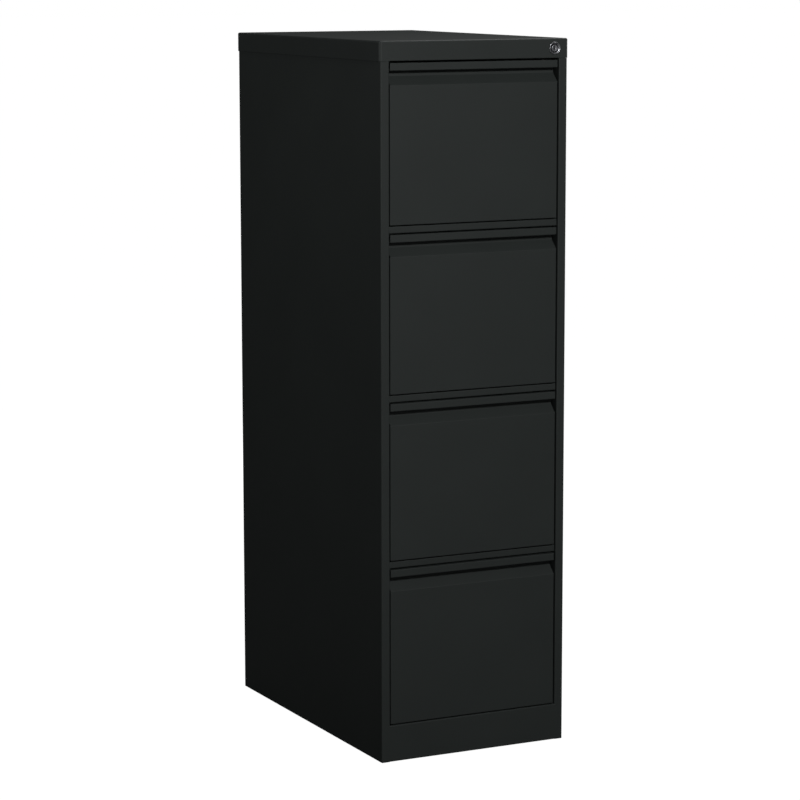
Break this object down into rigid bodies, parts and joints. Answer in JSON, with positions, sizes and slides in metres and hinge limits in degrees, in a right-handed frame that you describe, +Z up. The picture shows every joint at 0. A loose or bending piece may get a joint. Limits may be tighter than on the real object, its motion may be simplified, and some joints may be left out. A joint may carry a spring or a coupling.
{
  "type": "vertical filing cabinet",
  "caption": "Upright letter-size steel filing cabinet with full-width recessed finger pulls, telescopic drawer slides, a gang lock, follower blocks and levelling glides.",
  "frame": {"origin": "on the floor, under the middle of the whole cabinet", "axes": "+Z up, drawers open towards -Y, +X on the right of someone facing the front"},
  "size_m": [0.385, 0.6374, 1.321],
  "materials": {
    "case_paint": "satin black powder coat with a fine texture",
    "inner_paint": "satin black paint, smoother than the case",
    "zinc_steel": "bright zinc-plated steel",
    "chrome": "polished chrome",
    "black_nylon": "moulded nylon foot, matte black"
  },
  "bodies": {
    "cabinet": {"side_panel_left": "case_paint", "side_panel_right": "case_paint", "back_panel": "case_paint", "top_cap": "case_paint", "kick_plate": "case_paint", "base_pan": "case_paint", "cross_rail_1": "case_paint", "cross_rail_2": "case_paint", "cross_rail_3": "case_paint", "front_upright_left": "zinc_steel", "front_upright_right": "zinc_steel", "rear_upright_left": "zinc_steel", "rear_upright_right": "zinc_steel", "slide_outer_left_1": "zinc_steel", "slide_outer_right_1": "zinc_steel", "slide_outer_left_2": "zinc_steel", "slide_outer_right_2": "zinc_steel", "slide_outer_left_3": "zinc_steel", "slide_outer_right_3": "zinc_steel", "slide_outer_left_4": "zinc_steel", "slide_outer_right_4": "zinc_steel", "lock_housing": "chrome", "lock_nut": "zinc_steel", "lock_bar_guide_upper": "inner_paint", "lock_bar_guide_lower": "inner_paint"},
    "lock_plug": {"lock_plug": "chrome", "lock_crank": "zinc_steel"},
    "lock_bar": {"lock_bar": "inner_paint"},
    "drawer_1": {"drawer_face_1": "case_paint", "drawer_tray_1": "inner_paint", "slide_inner_left_1": "zinc_steel", "slide_inner_right_1": "zinc_steel"},
    "runners_1": {"slide_middle_left_1": "zinc_steel", "slide_middle_right_1": "zinc_steel"},
    "follower_1": {"follower_block_1": "inner_paint"},
    "drawer_2": {"drawer_face_2": "case_paint", "drawer_tray_2": "inner_paint", "slide_inner_left_2": "zinc_steel", "slide_inner_right_2": "zinc_steel"},
    "runners_2": {"slide_middle_left_2": "zinc_steel", "slide_middle_right_2": "zinc_steel"},
    "follower_2": {"follower_block_2": "inner_paint"},
    "drawer_3": {"drawer_face_3": "case_paint", "drawer_tray_3": "inner_paint", "slide_inner_left_3": "zinc_steel", "slide_inner_right_3": "zinc_steel"},
    "runners_3": {"slide_middle_left_3": "zinc_steel", "slide_middle_right_3": "zinc_steel"},
    "follower_3": {"follower_block_3": "inner_paint"},
    "drawer_4": {"drawer_face_4": "case_paint", "drawer_tray_4": "inner_paint", "slide_inner_left_4": "zinc_steel", "slide_inner_right_4": "zinc_steel"},
    "runners_4": {"slide_middle_left_4": "zinc_steel", "slide_middle_right_4": "zinc_steel"},
    "follower_4": {"follower_block_4": "inner_paint"},
    "glide_front_left": {"glide_front_left": "black_nylon"},
    "glide_front_right": {"glide_front_right": "black_nylon"},
    "glide_rear_left": {"glide_rear_left": "black_nylon"},
    "glide_rear_right": {"glide_rear_right": "black_nylon"}
  },
  "joints": [
    {"name": "drawer_1_slide", "type": "slide", "parent": "cabinet", "child": "drawer_1", "axis": [0, -1, 0], "range_m": [0, 0.56]},
    {"name": "runners_1_slide", "type": "slide", "parent": "cabinet", "child": "runners_1", "axis": [0, -1, 0], "range_m": [0, 0.28]},
    {"name": "follower_1_slide", "type": "slide", "parent": "drawer_1", "child": "follower_1", "axis": [0, -1, 0], "range_m": [0, 0.42]},
    {"name": "drawer_2_slide", "type": "slide", "parent": "cabinet", "child": "drawer_2", "axis": [0, -1, 0], "range_m": [0, 0.56]},
    {"name": "runners_2_slide", "type": "slide", "parent": "cabinet", "child": "runners_2", "axis": [0, -1, 0], "range_m": [0, 0.28]},
    {"name": "follower_2_slide", "type": "slide", "parent": "drawer_2", "child": "follower_2", "axis": [0, -1, 0], "range_m": [0, 0.42]},
    {"name": "drawer_3_slide", "type": "slide", "parent": "cabinet", "child": "drawer_3", "axis": [0, -1, 0], "range_m": [0, 0.56]},
    {"name": "runners_3_slide", "type": "slide", "parent": "cabinet", "child": "runners_3", "axis": [0, -1, 0], "range_m": [0, 0.28]},
    {"name": "follower_3_slide", "type": "slide", "parent": "drawer_3", "child": "follower_3", "axis": [0, -1, 0], "range_m": [0, 0.42]},
    {"name": "drawer_4_slide", "type": "slide", "parent": "cabinet", "child": "drawer_4", "axis": [0, -1, 0], "range_m": [0, 0.56]},
    {"name": "runners_4_slide", "type": "slide", "parent": "cabinet", "child": "runners_4", "axis": [0, -1, 0], "range_m": [0, 0.28]},
    {"name": "follower_4_slide", "type": "slide", "parent": "drawer_4", "child": "follower_4", "axis": [0, -1, 0], "range_m": [0, 0.42]},
    {"name": "lock_bar_lift", "type": "slide", "parent": "cabinet", "child": "lock_bar", "axis": [0, 0, 1], "range_m": [0, 0.012]},
    {"name": "lock_turn", "type": "hinge", "parent": "cabinet", "child": "lock_plug", "pos_m": [0.1635, -0.31625, 1.303], "axis": [0, -1, 0], "range_deg": [0, 90]},
    {"name": "glide_front_left_adjust", "type": "slide", "parent": "cabinet", "child": "glide_front_left", "axis": [0, 0, 1], "range_m": [0, 0.01]},
    {"name": "glide_front_right_adjust", "type": "slide", "parent": "cabinet", "child": "glide_front_right", "axis": [0, 0, 1], "range_m": [0, 0.01]},
    {"name": "glide_rear_left_adjust", "type": "slide", "parent": "cabinet", "child": "glide_rear_left", "axis": [0, 0, 1], "range_m": [0, 0.01]},
    {"name": "glide_rear_right_adjust", "type": "slide", "parent": "cabinet", "child": "glide_rear_right", "axis": [0, 0, 1], "range_m": [0, 0.01]}
  ],
  "couplings": [
    {"joint": "runners_1_slide", "follows": "drawer_1_slide", "ratio": 0.5},
    {"joint": "runners_2_slide", "follows": "drawer_2_slide", "ratio": 0.5},
    {"joint": "runners_3_slide", "follows": "drawer_3_slide", "ratio": 0.5},
    {"joint": "runners_4_slide", "follows": "drawer_4_slide", "ratio": 0.5},
    {"joint": "lock_turn", "follows": "lock_bar_lift", "rad_per_m": 130.8}
  ]
}
